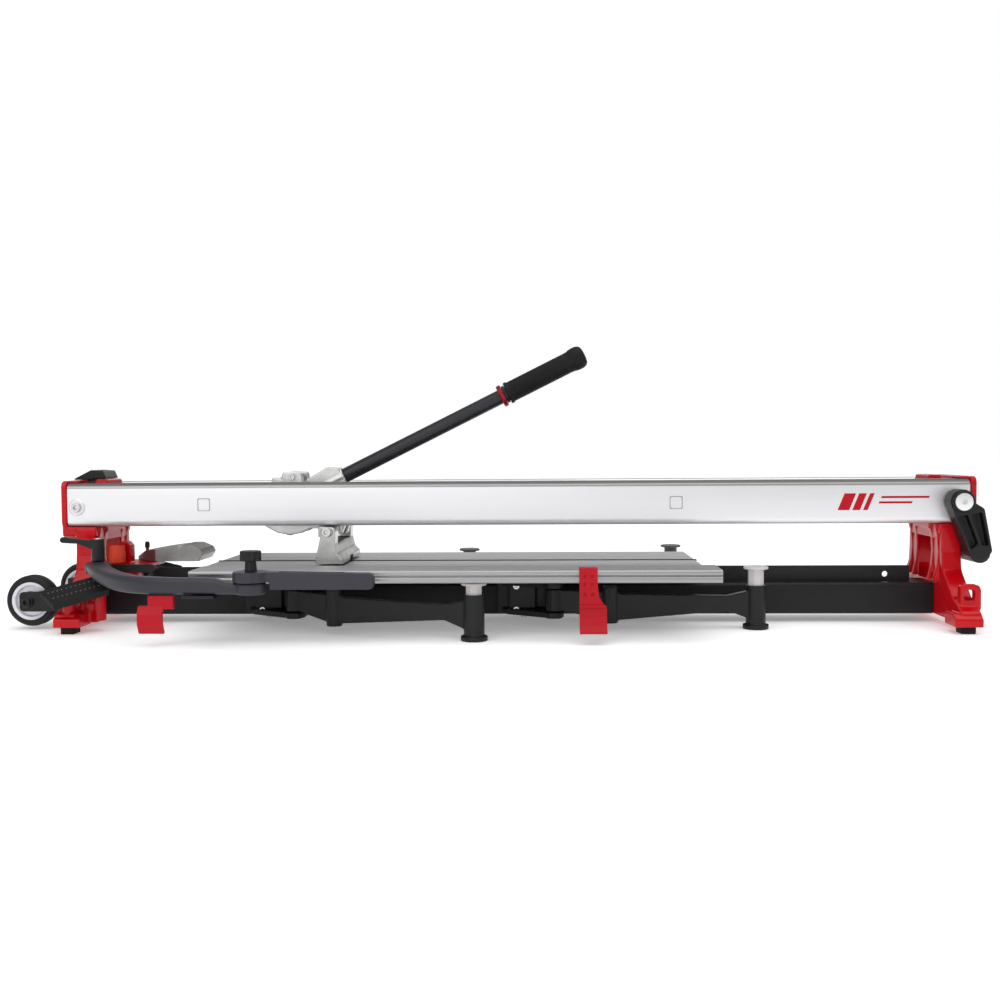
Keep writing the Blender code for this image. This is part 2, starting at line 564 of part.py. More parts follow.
def make_arm(name, hinge_x, sign, swing, cap_top):
    """A bent arm on a vertical hinge, with a middle leg and a hollow far leg for the post."""
    hinge, middle, far = arm_points(hinge_x, sign, swing)
    barrel = rod(hinge, 11.5, "Z", 22.2, 51.8)
    first = swept_bar([(*hinge, 25, 51, 5.0), (*middle, 13, 50, 5.0)])

    def along(share):
        return tuple(a + (b - a) * share for a, b in zip(middle, far))

    second = swept_bar([(*middle, 13, 52, 5.0), (*along(0.08), 14, 48, 5.0), (*along(0.80), 24, 44, 5.0),
                        (*along(0.90), 17, 48, 5.5), (*far, 10, 52, 6.0)])
    legs = [rod(middle, 10.5, "Z", 10, ARM_TOP), rod(far, ARM_LEG_RADIUS, "Z", 4, ARM_TOP),
            rod(far, ARM_FOOT_RADIUS, "Z", 0, 6)]
    arm = join(barrel, first, second, *legs)
    pin_bore = rod(hinge, HINGE_PIN + 0.4, "Z", 10, 62, 12)
    socket = rod(far, POST_RADIUS + 0.5, "Z", 8, 70)
    origin = (*hinge, 37)
    finish(cut(arm, pin_bore, socket), name + "_arm", "black_plastic", origin)
    low, cap_low = cap_top - POST_LENGTH, cap_top - CAP_THICK
    post = rod(far, POST_RADIUS, "Z", low, cap_low + 1, 8)
    cap = rod(far, CAP_RADIUS, "Z", cap_low, cap_top)
    finish(join(post, cap), name + "_post", "light_plastic", (*far, cap_top))


# ---------------------------------------------------------------- lateral stop
def make_stop():
    hub_x, hub_y = STOP_HUB
    end_x, end_y = FINGER_HUB
    course = [(hub_x, hub_y, 76.6, 91, 12), (-532, -124, 76.6, 91, 13), (-508, -160, 71, 90, 12),
              (-478, -192, 65, 87, 11), (-445, -211, 63.6, 85, 10), (-400, -219, 64, 84, 10),
              (-352, end_y, 64, 83.5, 10), (-338, end_y, 64, 78, 10), (end_x, end_y, 64, 78, 10)]
    arm = join(swept_bar(course), rod(STOP_HUB, 17, "Z", 76.4, 91), rod(FINGER_HUB, 18, "Z", 63.8, 78.2))
    bores = [rod(centre, STUD_RADIUS + 0.5, "Z", 50, 100, 16) for centre in (STOP_HUB, FINGER_HUB)]
    finish(cut(arm, *bores), "stop_arm", "grey_plastic", (hub_x, hub_y, 84))
    disc = rod(FINGER_HUB, 22, "Z", 78.8, 91)
    bar = prism([(end_x + 24, 70), (end_x + 148, 70, 5), (end_x + 148, 89, 6), (end_x + 24, 91)],
                "Y", end_y - 9, end_y + 7)
    neck = box((end_x + 10, end_y - 9, 79), (end_x + 26, end_y + 7, 90.6))
    recess = box((end_x + 34, end_y - 5, 84), (end_x + 112, end_y + 3, 95))
    finger = cut(join(disc, neck, bar), recess, rod(FINGER_HUB, STUD_RADIUS + 0.5, "Z", 60, 100, 16))
    finish(finger, "stop_finger", "grey_plastic", (end_x, end_y, 84))
    flutes = 12
    head = [(end_x + (13 - 1.2 * (k % 2)) * cos(pi * k / flutes),
             end_y + (13 - 1.2 * (k % 2)) * sin(pi * k / flutes)) for k in range(2 * flutes)]
    neck = rod(FINGER_HUB, 7, "Z", 91.5, 105)
    stud = rod(FINGER_HUB, STUD_RADIUS, "Z", 66, 93, 16)
    knob = join(prism(head, "Z", 104, 116), neck, stud)
    finish(knob, "stop_knob", "black_plastic", (end_x, end_y, 100))
    hub = rod(STOP_HUB, 8.5, "Z", 92, 121)
    handle = prism([(hub_x, 105), (hub_x, 119), (hub_x - 30, 121.5), (hub_x - 46, 124, 3),
                    (hub_x - 51, 120, 3),
                    (hub_x - 46, 116, 3), (hub_x - 26, 115)], "Y", hub_y - 4.5, hub_y + 4.5)
    finish(join(hub, handle), "clamp_lever", "black_plastic", (hub_x, hub_y, 92))


def make_ruler():
    """The lateral stop's aluminium ruler: a plate, a nose along its front edge and a tab below the arm."""
    outline = [(RAIL_NEAR, 72.8, 2), (RAIL_NEAR + 5, 72.8), (RAIL_NEAR + 5, 84), (RAIL_FAR, 84),
               (RAIL_FAR, RAIL_TOP), (RAIL_NEAR, RAIL_TOP, 2.5)]
    rail = prism(outline, "X", RAIL_LEFT, RAIL_RIGHT)
    web = box((RAIL_LEFT + 2, RAIL_NEAR + 0.5, 59.5), (RAIL_LEFT + 42, RAIL_NEAR + 4.5, 76))
    tab = box((RAIL_LEFT + 2, -230, 59.5), (RAIL_LEFT + 42, RAIL_NEAR + 4.5, 63.2))
    finish(join(rail, web, tab), "ruler_rail", "aluminium", (RAIL_LEFT, RAIL_NEAR, RAIL_TOP))


def make_clips():
    """Two red clips: one hooked over the ruler's nose, one hinged under the stop arm."""
    near = RAIL_NEAR - 0.6
    hook = [(near + 12, 88.9), (near + 12, 92), (near - 3, 92, 3), (near - 3, 34), (near - 9, 22),
            (near - 16, 16),
            (near - 15, 13.5), (near - 6, 19), (near, 33), (near, 88.9)]
    finish(prism(hook, "X", 84, 117), "right_clip", "red_plastic", (100, near, 88))
    link = box((-433, -222, 46), (-402, -216, 62.2))
    plate = prism([(-217, 50), (-222, 50, 2), (-227, 40), (-227, 28), (-221, 16), (-217.5, 17.5), (-223, 29),
                   (-223, 39)], "X", -445, -414)
    finish(join(link, plate), "left_clip", "red_plastic", (-418, -219, 60))


def make_mitre_stop():
    """A red bracket on the beam with a lock knob and a cast mitre plate that turns on its pin."""
    column = box((-536, -30, BEAM_HIGH + GAP), (-516, -6, 79))
    shelf = box((-550, -59, 78), (-492, 12, 83.4))
    ear = prism([(-541, 82), (-525, 82), (-525, 106, 4), (-530, 112, 4), (-541, 112, 4)], "Y", -32, -15)
    pin = rod(MITRE_PIN, 2.4, "Z", 80, 109, 12)
    bracket = join(column, shelf, ear, pin)
    finish(bracket, "mitre_bracket", "red_paint")
    plate = prism([(-522, 84), (-432, 84), (-426, 93), (-429, 100, 3), (-442, 106, 3), (-455, 105),
                   (-459, 100.5),
                   (-463, 105, 2), (-491, 101), (-510, 98, 4), (-522, 90)], "Y", -28, 34)
    corners = [prism([(-540, way), (-492, way * 1.5), (-492, way), (-521, way * 0.4), (-540, way * 0.4)],
                     "Z", 70, 120)
               for way in (-28, 34)]
    mitre = cut(plate, rod(MITRE_PIN, 2.8, "Z", 70, 120, 12), *corners)
    finish(mitre, "mitre_plate", "cast_metal", (*MITRE_PIN, 84))
    knob = rod(LOCK_KNOB, 10.9, "Z", 84, 108, 20)
    finish(knob, "lock_knob", "orange_plastic", (*LOCK_KNOB, 84))


# ---------------------------------------------------------------- carrying handle
def make_handle():
    """A yoke on the right-hand ends of the guides: two arms and a bar, on two bolts."""
    outline = [(565, 160), (568, 150), (589, 93), (606, 86, 10), (617, 100, 4), (606.5, 155, 4), (594, 163)]
    pieces = []
    for sign in (-1, 1):
        low, high = spread(sign, HANDLE_NEAR, HANDLE_FAR)
        pieces.append(prism(outline, "Y", low, high))
        pieces.append(rod((HANDLE_X, HANDLE_Z), 16.0, "Y", low - 0.2, high + 0.2))
    bar = rod((BAR_X, BAR_Z), BAR_RADIUS, "Y", -HANDLE_FAR + 1, HANDLE_FAR - 1)
    bores = [rod((HANDLE_X, HANDLE_Z), AXLE_RADIUS + 0.4, "Y", *spread(sign, 50, 100)) for sign in (-1, 1)]
    finish(cut(join(bar, *pieces), *bores), "carrying_handle", "black_plastic", (HANDLE_X, 0, HANDLE_Z))
    for name, sign in (("front", -1), ("rear", 1)):
        profile = [(0, 22), (AXLE_RADIUS, 22), (AXLE_RADIUS, HANDLE_FAR + 1), (14, HANDLE_FAR + 1),
                   (14.5, HANDLE_FAR + 3), (12.5, HANDLE_FAR + 5), (4, HANDLE_FAR + 5), (4, HANDLE_FAR + 2),
                   (0, HANDLE_FAR + 2)]
        finish(turned(profile, (HANDLE_X, 0, HANDLE_Z), (0, sign, 0)), name + "_handle_bolt", "steel")


def build():
    clear_scene()
    make_beam()
    make_breaking_strip()
    for side, sign in (("front", -1), ("rear", 1)):
        make_guide(side, sign)
        make_pivot_bar(side, sign)
        make_table(side, sign)
        make_step_pad(side, sign)
    for side, sign in (("left", -1), ("right", 1)):
        make_casting(side, sign)
        make_foot(side + "_front_foot", sign * FOOT_X, -FOOT_Y)
        make_foot(side + "_rear_foot", sign * FOOT_X, FOOT_Y)
    make_bumper()
    make_wheel_bracket()
    make_wheels()
    make_carriage()
    make_breaker()
    make_scoring_unit()
    make_lever()
    for name, (hinge_x, sign, swing, cap_top) in ARMS.items():
        make_bracket(name, hinge_x, sign)
        make_arm(name, hinge_x, sign, swing, cap_top)
    make_stop()
    make_ruler()
    make_clips()
    make_mitre_stop()
    make_handle()


build()
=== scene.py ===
"""The looks of the tile cutter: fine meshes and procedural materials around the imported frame."""
import json
from math import atan2, cos, pi, radians, sin

import bmesh
import bpy
from mathutils import Matrix, Vector


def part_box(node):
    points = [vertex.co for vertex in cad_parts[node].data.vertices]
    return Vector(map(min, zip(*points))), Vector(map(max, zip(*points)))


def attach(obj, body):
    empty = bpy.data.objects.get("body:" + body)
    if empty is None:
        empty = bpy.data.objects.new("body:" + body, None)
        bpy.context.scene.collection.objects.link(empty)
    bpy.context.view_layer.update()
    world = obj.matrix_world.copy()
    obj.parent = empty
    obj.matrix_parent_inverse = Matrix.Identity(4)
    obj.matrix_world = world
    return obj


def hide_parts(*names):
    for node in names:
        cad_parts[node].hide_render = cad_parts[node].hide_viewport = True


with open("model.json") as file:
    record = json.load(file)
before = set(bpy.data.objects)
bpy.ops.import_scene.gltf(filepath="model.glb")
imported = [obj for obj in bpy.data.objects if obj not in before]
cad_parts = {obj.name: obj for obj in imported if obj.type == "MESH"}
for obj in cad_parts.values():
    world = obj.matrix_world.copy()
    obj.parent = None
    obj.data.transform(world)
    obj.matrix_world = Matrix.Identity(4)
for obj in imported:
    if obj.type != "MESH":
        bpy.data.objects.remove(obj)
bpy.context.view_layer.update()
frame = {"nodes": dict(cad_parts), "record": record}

MM = 0.001
BODIES = frame["record"]["behaviour"]["bodies"]
BODY_OF = {node: body for body, nodes in BODIES.items() for node in nodes}
JOINTS = {joint["name"]: joint for joint in frame["record"]["behaviour"]["joints"]}
FRAME_SHIFT = Vector((0.02767, -0.00842, 0.0))
LEVER_ANGLE = radians(26.3)
SIDES = (("front", -1), ("rear", 1))
UP = (0, 0, 1)
OVERSHOOT = 10 * MM                 # how far a cutter runs past the profile that it hollows
WELD = 0.01 * MM                    # points closer than this are one point


# ---------------------------------------------------------------- helpers: places and outlines
def machine(x, y, z):
    """A point given in millimetres from below the beam's middle."""
    return FRAME_SHIFT + Vector((x, y, z)) * MM


def machine_y(y):
    """The Y of a place given in millimetres from the beam's middle."""
    return machine(0, y, 0).y


def side_outline(points, radius=0.0):
    """An outline in X and Z from points in millimetres, as the machine is seen from the front."""
    return [(*machine(x, 0, z).xz, radius) for x, z in points]


def rectangle(left, right, bottom, top, radius=0.0):
    return [(left, bottom, radius), (right, bottom, radius), (right, top, radius), (left, top, radius)]


def scaled(profile):
    """A turned profile of (radius, distance) given in millimetres."""
    return [(radius * MM, distance * MM) for radius, distance in profile]


def shares(radius, half, profile):
    """A turned profile given in shares of a radius and of half a width."""
    return [(radius * across, half * along) for across, along in profile]


def both_ways(profile):
    """Half a turned profile with its mirror image, so that it closes on itself."""
    return profile + [(radius, -distance) for radius, distance in reversed(profile)]


def low(node):
    return Vector(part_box(node)[0])


def high(node):
    return Vector(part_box(node)[1])


def middle(node):
    return (low(node) + high(node)) / 2


def face_y(node, sign):
    """The Y of a node's front face for -1, or of its rear face for 1."""
    return low(node).y if sign < 0 else high(node).y


def disc_size(node):
    """The radius and half the width of a node that turns about Y."""
    a, b = low(node), high(node)
    return (b.x - a.x) / 2, (b.y - a.y) / 2


def hinge_point(joint):
    return Vector(JOINTS[joint]["pos_m"])


# ---------------------------------------------------------------- helpers: materials
def surface(name, colour, roughness, metallic=0.0, coat=0.0, spread=0.12, cloud=14.0, stretch=(1, 1, 1),
            grain=900.0, bump=0.12, depth=0.0002, specular=0.5):
    """A procedural material: cloudy colour and roughness over a fine grain, in the object's own space."""
    made = bpy.data.materials.new(name)
    made.use_nodes = True
    nodes, links = made.node_tree.nodes, made.node_tree.links
    shader = nodes["Principled BSDF"]
    shader.inputs["Metallic"].default_value = metallic
    shader.inputs["Coat Weight"].default_value = coat
    shader.inputs["Coat Roughness"].default_value = 0.08
    shader.inputs["Specular IOR Level"].default_value = specular
    coordinates = nodes.new("ShaderNodeTexCoord")
    mapping = nodes.new("ShaderNodeMapping")
    mapping.inputs["Scale"].default_value = stretch
    links.new(coordinates.outputs["Object"], mapping.inputs["Vector"])
    clouds = nodes.new("ShaderNodeTexNoise")
    clouds.inputs["Scale"].default_value = cloud
    clouds.inputs["Detail"].default_value = 5.0
    links.new(mapping.outputs["Vector"], clouds.inputs["Vector"])
    ramp = nodes.new("ShaderNodeValToRGB")
    ramp.color_ramp.elements[0].position = 0.25
    ramp.color_ramp.elements[1].position = 0.75
    ramp.color_ramp.elements[0].color = (*[c * (1 - spread) for c in colour], 1)
    ramp.color_ramp.elements[1].color = (*[min(1, c * (1 + spread)) for c in colour], 1)
    links.new(clouds.outputs["Fac"], ramp.inputs["Fac"])
    links.new(ramp.outputs["Color"], shader.inputs["Base Color"])
    rough = nodes.new("ShaderNodeMapRange")
    rough.inputs["To Min"].default_value = roughness * 0.85
    rough.inputs["To Max"].default_value = min(1.0, roughness * 1.2)
    grains = nodes.new("ShaderNodeTexNoise")
    grains.inputs["Scale"].default_value = grain
    grains.inputs["Detail"].default_value = 3.0
    links.new(mapping.outputs["Vector"], grains.inputs["Vector"])
    links.new(grains.outputs["Fac"], rough.inputs["Value"])
    links.new(rough.outputs["Result"], shader.inputs["Roughness"])
    relief = nodes.new("ShaderNodeBump")
    relief.inputs["Strength"].default_value = bump
    relief.inputs["Distance"].default_value = depth
    links.new(grains.outputs["Fac"], relief.inputs["Height"])
    links.new(relief.outputs["Normal"], shader.inputs["Normal"])
    return made


LENGTHWISE = (0.04, 6.0, 6.0)       # drawn marks that run along X
MATERIALS = {
    "red_paint": surface("red_paint_gloss", (0.50, 0.0012, 0.006), 0.2, coat=0.12, spread=0.08, grain=260,
                         bump=0.05, specular=0.2),
    "red_anodised": surface("red_anodised_ring", (0.26, 0.006, 0.02), 0.3, metallic=0.7, stretch=(1, 8, 8)),
    "guide_aluminium": surface("guide_satin", (0.80, 0.80, 0.82), 0.38, metallic=0.75, spread=0.02,
                               stretch=LENGTHWISE, grain=500, bump=0.05, depth=0.0001),
    # painted shade: the dark colour of the strip over each guide's top edge
    "guide_top_painted_shade": surface("guide_top_painted_shade", (0.14, 0.137, 0.129), 0.42, metallic=0.6, spread=0.06,
                          stretch=LENGTHWISE, grain=500, bump=0.05, specular=0.3),
    # painted shade: dark grey for the rear posts' caps, which are the same light moulding as the front ones
    "rear_cap_painted_shade": surface("rear_cap_painted_shade", (0.10, 0.10, 0.105), 0.5, spread=0.06, grain=1300, bump=0.2,
                        specular=0.3),
    "table_aluminium": surface("table_drawn", (0.36, 0.36, 0.365), 0.4, metallic=0.8, spread=0.08,
                               stretch=LENGTHWISE, grain=420, bump=0.12),
    "beam_paint": surface("beam_powder_coat", (0.009, 0.009, 0.0105), 0.45, spread=0.2, grain=1400, bump=0.3,
                          specular=0.25),
    "strip_steel": surface("strip_blackened", (0.014, 0.014, 0.015), 0.42, stretch=LENGTHWISE, specular=0.3),
    "tube_paint": surface("tube_anodised", (0.010, 0.011, 0.014), 0.32, stretch=(1, 6, 6), specular=0.4),
    "black_plastic": surface("black_moulding", (0.009, 0.009, 0.010), 0.38, spread=0.2, grain=1500, bump=0.25,
                             specular=0.28),
    "grey_plastic": surface("grey_moulding", (0.028, 0.028, 0.038), 0.4, spread=0.12, grain=1300, bump=0.2,
                            specular=0.35),
    "light_plastic": surface("light_moulding", (0.56, 0.53, 0.53), 0.5, spread=0.06, grain=1300, bump=0.2),
    "stud_grey": surface("stud_grey", (0.16, 0.16, 0.165), 0.5, grain=1300, bump=0.2, specular=0.3),
    "red_plastic": surface("red_moulding", (0.44, 0.003, 0.012), 0.4, spread=0.1, grain=1200, bump=0.15,
                           specular=0.2),
    "orange_plastic": surface("orange_moulding", (0.62, 0.05, 0.018), 0.42, spread=0.1, grain=1200, bump=0.15,
                              specular=0.25),
    "rubber": surface("moulded_rubber", (0.008, 0.008, 0.0085), 0.6, spread=0.25, grain=1700, bump=0.5,
                      specular=0.2),
    "tyre": surface("tyre_rubber", (0.009, 0.009, 0.010), 0.5, spread=0.25, grain=1500, bump=0.4,
                    specular=0.25),
    "cast_metal": surface("cast_alloy", (0.56, 0.56, 0.545), 0.28, metallic=0.95, spread=0.14, cloud=60,
                          grain=650, bump=0.3, depth=0.0003),
    "dull_cast": surface("dull_cast_alloy", (0.30, 0.295, 0.29), 0.36, metallic=0.9, spread=0.14, cloud=50,
                         grain=650, bump=0.35, depth=0.0003),
    "steel": surface("turned_steel", (0.62, 0.62, 0.63), 0.25, metallic=1.0, grain=900, bump=0.08),
    "pale_rim": surface("wheel_rim", (0.66, 0.66, 0.70), 0.35, metallic=0.4, spread=0.05, grain=1200,
                        bump=0.12),
    "bright_disc": surface("bolt_disc", (0.82, 0.82, 0.82), 0.3, metallic=0.5, spread=0.03, bump=0.05),
}
SLOT_OF = {entry["node"]: entry["material_slot"] for entry in frame["record"]["subparts"]}


# ---------------------------------------------------------------- helpers: meshes
def add_object(name, data):
    made = bpy.data.objects.new(name, data)
    bpy.context.scene.collection.objects.link(made)
    return made


def as_object(name, built, sharp=35):
    """An object of the built shape, shaded smooth but for edges sharper than an angle in degrees."""
    bmesh.ops.recalc_face_normals(built, faces=built.faces)
    mesh = bpy.data.meshes.new(name)
    built.to_mesh(mesh)
    built.free()
    mesh.shade_smooth()
    mesh.set_sharp_from_angle(angle=radians(sharp))
    return add_object(name, mesh)


def place(piece, body, slot, look=None, replaced=()):
    """Give a piece its material, its body and the nodes that it stands for."""
    piece.data.materials.clear()
    piece.data.materials.append(MATERIALS[look or slot])
    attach(piece, body)
    if replaced:
        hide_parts(*replaced)


# How an outline's two directions and a prism's length lie for a prism along each axis.
AXES = {
    "X": Matrix(((0, 0, 1), (1, 0, 0), (0, 1, 0))),
    "Y": Matrix(((1, 0, 0), (0, 0, 1), (0, 1, 0))),
    "Z": Matrix.Identity(3),
}


def fillet(corners, steps=7):
    """An outline with an arc at each corner that has a radius as its third value."""
    points = []
    for i, corner in enumerate(corners):
        here = Vector(corner[:2])
        radius = corner[2] if len(corner) == 3 else 0.0
        if not radius:
            points.append(tuple(here))
            continue
        before = (Vector(corners[i - 1][:2]) - here).normalized()
        after = (Vector(corners[(i + 1) % len(corners)][:2]) - here).normalized()
        half = before.angle(after) / 2
        reach = radius * cos(half) / sin(half)
        centre = here + (before + after).normalized() * radius / sin(half)
        start = here + before * reach - centre
        sweep = -start.angle_signed(here + after * reach - centre)
        for k in range(steps + 1):
            c, s = cos(sweep * k / steps), sin(sweep * k / steps)
            points.append((centre.x + start.x * c - start.y * s, centre.y + start.x * s + start.y * c))
    return points


def add_rings(built, rings):
    """Rings of points joined one after the other, with a face over each end."""
    corners = [[built.verts.new(point) for point in ring] for ring in rings]
    built.faces.new(corners[0])
    built.faces.new(corners[-1])
    for first, second in zip(corners, corners[1:]):
        for i in range(len(first)):
            j = (i + 1) % len(first)
            built.faces.new((first[i], first[j], second[j], second[i]))


def add_prism(built, corners, axis, start, end):
    turn = AXES[axis]
    points = fillet(corners)
    add_rings(built, [[turn @ Vector((a, b, level)) for a, b in points] for level in (start, end)])


def prism(name, corners, axis, start, end):
    """An outline drawn out along an axis, from one level to another."""
    built = bmesh.new()
    add_prism(built, corners, axis, start, end)
    return as_object(name, built)


def add_lathe(built, profile, base, direction, steps=48):
    """A profile of (radius, distance) turned about a line; it closes on itself if it keeps off the axis."""
    turn = Vector(direction).to_track_quat("Z", "Y").to_matrix()
    rings = []
    for radius, distance in profile:
        angles = [2 * pi * k / steps for k in range(steps if radius else 1)]
        ring = [turn @ Vector((radius * cos(t), radius * sin(t), distance)) for t in angles]
        rings.append([built.verts.new(Vector(base) + point) for point in ring])
    pairs = list(zip(rings, rings[1:]))
    if profile[0][0] and profile[-1][0]:
        pairs.append((rings[-1], rings[0]))
    for first, second in pairs:
        for k in range(steps):
            n = (k + 1) % steps
            corners = [first[0]] if len(first) == 1 else [first[k], first[n]]
            corners += [second[0]] if len(second) == 1 else [second[n], second[k]]
            built.faces.new(corners)


def lathe(name, profile, base, direction, steps=48, sharp=35):
    built = bmesh.new()
    add_lathe(built, profile, base, direction, steps)
    return as_object(name, built, sharp)


def bake(piece):
    """Apply a piece's modifiers to its mesh."""
    evaluated = piece.evaluated_get(bpy.context.evaluated_depsgraph_get())
    mesh = bpy.data.meshes.new_from_object(evaluated)
    piece.modifiers.clear()
    piece.data = mesh


def weld(piece):
    piece.modifiers.new("weld", "WELD").merge_threshold = WELD


def carve(piece, cutters):
    """The piece cut by other shapes, which are used up."""
    for cutter in cutters:
        tool = piece.modifiers.new("cut", "BOOLEAN")
        tool.operation = "DIFFERENCE"
        tool.object = cutter
    bake(piece)
    for cutter in cutters:
        bpy.data.objects.remove(cutter, do_unlink=True)
    return piece


def run_together(piece, voxel, rounds):
    """The piece as one closed surface of a voxel size in millimetres, its edges and corners softened."""
    remesh = piece.modifiers.new("remesh", "REMESH")
    remesh.mode = "VOXEL"
    remesh.voxel_size = voxel * MM
    smooth = piece.modifiers.new("smooth", "SMOOTH")
    smooth.factor = 0.5
    smooth.iterations = rounds
    bake(piece)
    piece.data.shade_smooth()
    return piece


def skin(node, voxel, rounds, look=None, cutters=()):
    """A cast or moulded skin of a CAD node, made from a copy of its mesh."""
    piece = add_object(node + "_skin", frame["nodes"][node].data.copy())
    weld(piece)
    bake(piece)
    if cutters:
        carve(piece, cutters)
    run_together(piece, voxel, rounds)
    place(piece, BODY_OF[node], SLOT_OF[node], look, replaced=(node,))


def dress(node, width):
    """A CAD node with its flat facets merged, its edges broken and its material."""
    shown = frame["nodes"][node]
    weld(shown)
    merge = shown.modifiers.new("merge", "DECIMATE")
    merge.decimate_type = "DISSOLVE"
    merge.angle_limit = radians(1)
    bevel = shown.modifiers.new("bevel", "BEVEL")
    bevel.width = width * MM
    bevel.segments = 3
    bevel.limit_method = "ANGLE"
    bevel.angle_limit = radians(35)
    bevel.harden_normals = True
    shown.data.materials.clear()
    shown.data.materials.append(MATERIALS[SLOT_OF[node]])


SOCKET_HEAD = ((0, -0.4), (1, -0.4), (1, 0.45), (0.9, 0.62), (0.5, 0.62), (0.44, 0.5), (0.44, 0.1),
               (0, 0.1))
DOMED_HEAD = ((0, -0.4), (1, -0.4), (1, 0.1), (0.92, 0.3), (0.6, 0.5), (0, 0.56))


def screw(name, point, direction, radius, body, slot="steel", head=SOCKET_HEAD):
    """A screw's head, from a profile in shares of its radius in millimetres."""
    profile = shares(radius * MM, radius * MM, head)
    place(lathe(name, profile, point, direction, 30), body, slot)


# ---------------------------------------------------------------- frame of the machine
def hollow_section(name, corners, core, start, end):
    """A box profile along X, open at both ends."""
    outer = prism(name, corners, "X", start, end)
    inner = prism(name + "_core", core, "X", start - OVERSHOOT, end + OVERSHOOT)
    carve(outer, [inner])
    outer.data.shade_smooth()
    outer.data.set_sharp_from_angle(angle=radians(30))
    return outer


def bent_shade_strip(centre, radius, sign, first, last, flat_end=None):
    """A thin strip's outline round a guide's top edge, between two angles and on to a flat end; the strips
    carry painted shade.
    """
    thickness, steps = 0.6 * MM, 8
    angles = [radians(first + (last - first) * k / steps) for k in range(steps + 1)]
    over, under = [[(centre[0] + sign * bend * cos(t), centre[1] + bend * sin(t)) for t in angles]
                   for bend in (radius, radius - thickness)]
    if flat_end is not None:
        over.append((flat_end, over[-1][1]))
        under.append((flat_end, under[-1][1]))
    return over + under[::-1]


def make_guides():
    """Box profiles with the rollers' groove inside, and strips of painted shade over the outer top edge: a
    mid-grey band on the rounding and a dark band over the top.
    """
    wall, outer_corner, inner_corner = 3 * MM, 8.5 * MM, 3 * MM
    groove_depth, half_groove = 8.5 * MM, 9.4 * MM
    proud, inset = 0.2 * MM, 0.2 * MM
    roller = middle("front_left_roller").z
    groove_low, groove_high = roller - half_groove, roller + half_groove
    for side, sign in SIDES:
        node = side + "_guide"
        a, b = low(node), high(node)
        outer, inner = face_y(node, sign), face_y(node, -sign)
        deep = inner + sign * groove_depth
        corners = [(outer, a.z, outer_corner), (outer, b.z, outer_corner), (inner, b.z, inner_corner),
                   (inner, groove_high), (deep, groove_high), (deep, groove_low), (inner, groove_low),
                   (inner, a.z, inner_corner)]
        core_corner = outer_corner - wall
        near, far = deep + sign * wall, outer - sign * wall
        core = [(near, a.z + wall), (far, a.z + wall, core_corner), (far, b.z - wall, core_corner),
                (near, b.z - wall)]
        guide = hollow_section(side + "_guide_extrusion", corners, core, a.x, b.x)
        place(guide, "base", "guide_aluminium", replaced=(node,))
        centre, radius = (outer - sign * outer_corner, b.z - outer_corner), outer_corner + proud
        flat_end = inner + sign * inner_corner
        # Painted shade along each guide's outer top edge: a mid-grey band on the rounding and a dark band
        # over the top.
        painted_shade_strips = (("rounding", bent_shade_strip(centre, radius, sign, 10, 34), "table_aluminium"),
                  ("top", bent_shade_strip(centre, radius, sign, 34, 90, flat_end), "guide_top_painted_shade"))
        for part, outline, look in painted_shade_strips:
            strip = prism(f"{side}_guide_{part}", outline, "X", a.x + inset, b.x - inset)
            place(strip, "base", "guide_aluminium", look=look)


def make_mark(name, x, z, face, sign):
    """A thin square frame on a guide's face: the raised frame is relief, and its darker grey is painted shade
    along the mark's outline.
    """
    half, opening, corner = 8.5 * MM, 8.5 * 0.88 * MM, 2 * MM
    start, end = sorted((face - sign * 0.2 * MM, face + sign * 0.4 * MM))
    mark = prism(name, rectangle(x - half, x + half, z - half, z + half, corner), "Y", start, end)
    dish = prism("dish", rectangle(x - opening, x + opening, z - opening, z + opening, corner),
                 "Y", face - 2 * MM, face + 2 * MM)
    # Painted shade: the frame's darker grey stands in for the faint shade round the mark.
    place(carve(mark, [dish]), "base", "guide_aluminium", look="table_aluminium")


def make_stripes(name, left, centre, face):
    """Plain slanted bars and lines, from (start, width, bottom, height, slant) in millimetres."""
    thin = 0.12 * MM
    built = bmesh.new()
    for start, width, bottom, height, slant in ((0, 15, -11, 22, 9), (19, 10, -11, 22, 9),
                                                (33, 6, -11, 22, 9), (56, 62, 4.5, 2.8, 1.2),
                                                (53, 43, -2.5, 2.8, 1.2)):
        x, z = left + start * MM, centre + bottom * MM
        add_prism(built, [(x, z), (x + width * MM, z), (x + (width + slant) * MM, z + height * MM),
                          (x + slant * MM, z + height * MM)], "Y", face - thin, face + thin)
    place(as_object(name, built), "base", "red_plastic")


def make_guide_details():
    """Square marks, red stripes and the left end's screw on each guide's outer face."""
    left, right = low("front_guide").x, high("front_guide").x
    centre = middle("front_guide").z
    for side, sign in SIDES:
        face = face_y(side + "_guide", sign)
        for k, share in enumerate((0.155, 0.681)):
            make_mark(f"{side}_mark_{k}", left + (right - left) * share, centre, face, sign)
        make_stripes(side + "_stripes", left + (right - left) * 0.857, centre, face)
        spot = Vector((left + 13 * MM, face + sign * 1.4 * MM, centre - 3 * MM))
        boss_profile = scaled([(0, -2), (11, -2), (11, 0.6), (10, 1.4), (0, 1.4)])
        boss = lathe(side + "_end_boss", boss_profile, spot - Vector((0, sign * 1.6 * MM, 0)), (0, sign, 0))
        place(boss, "base", "guide_aluminium")
        screw(side + "_end_screw", spot, (0, sign, 0), 6.5, "base")


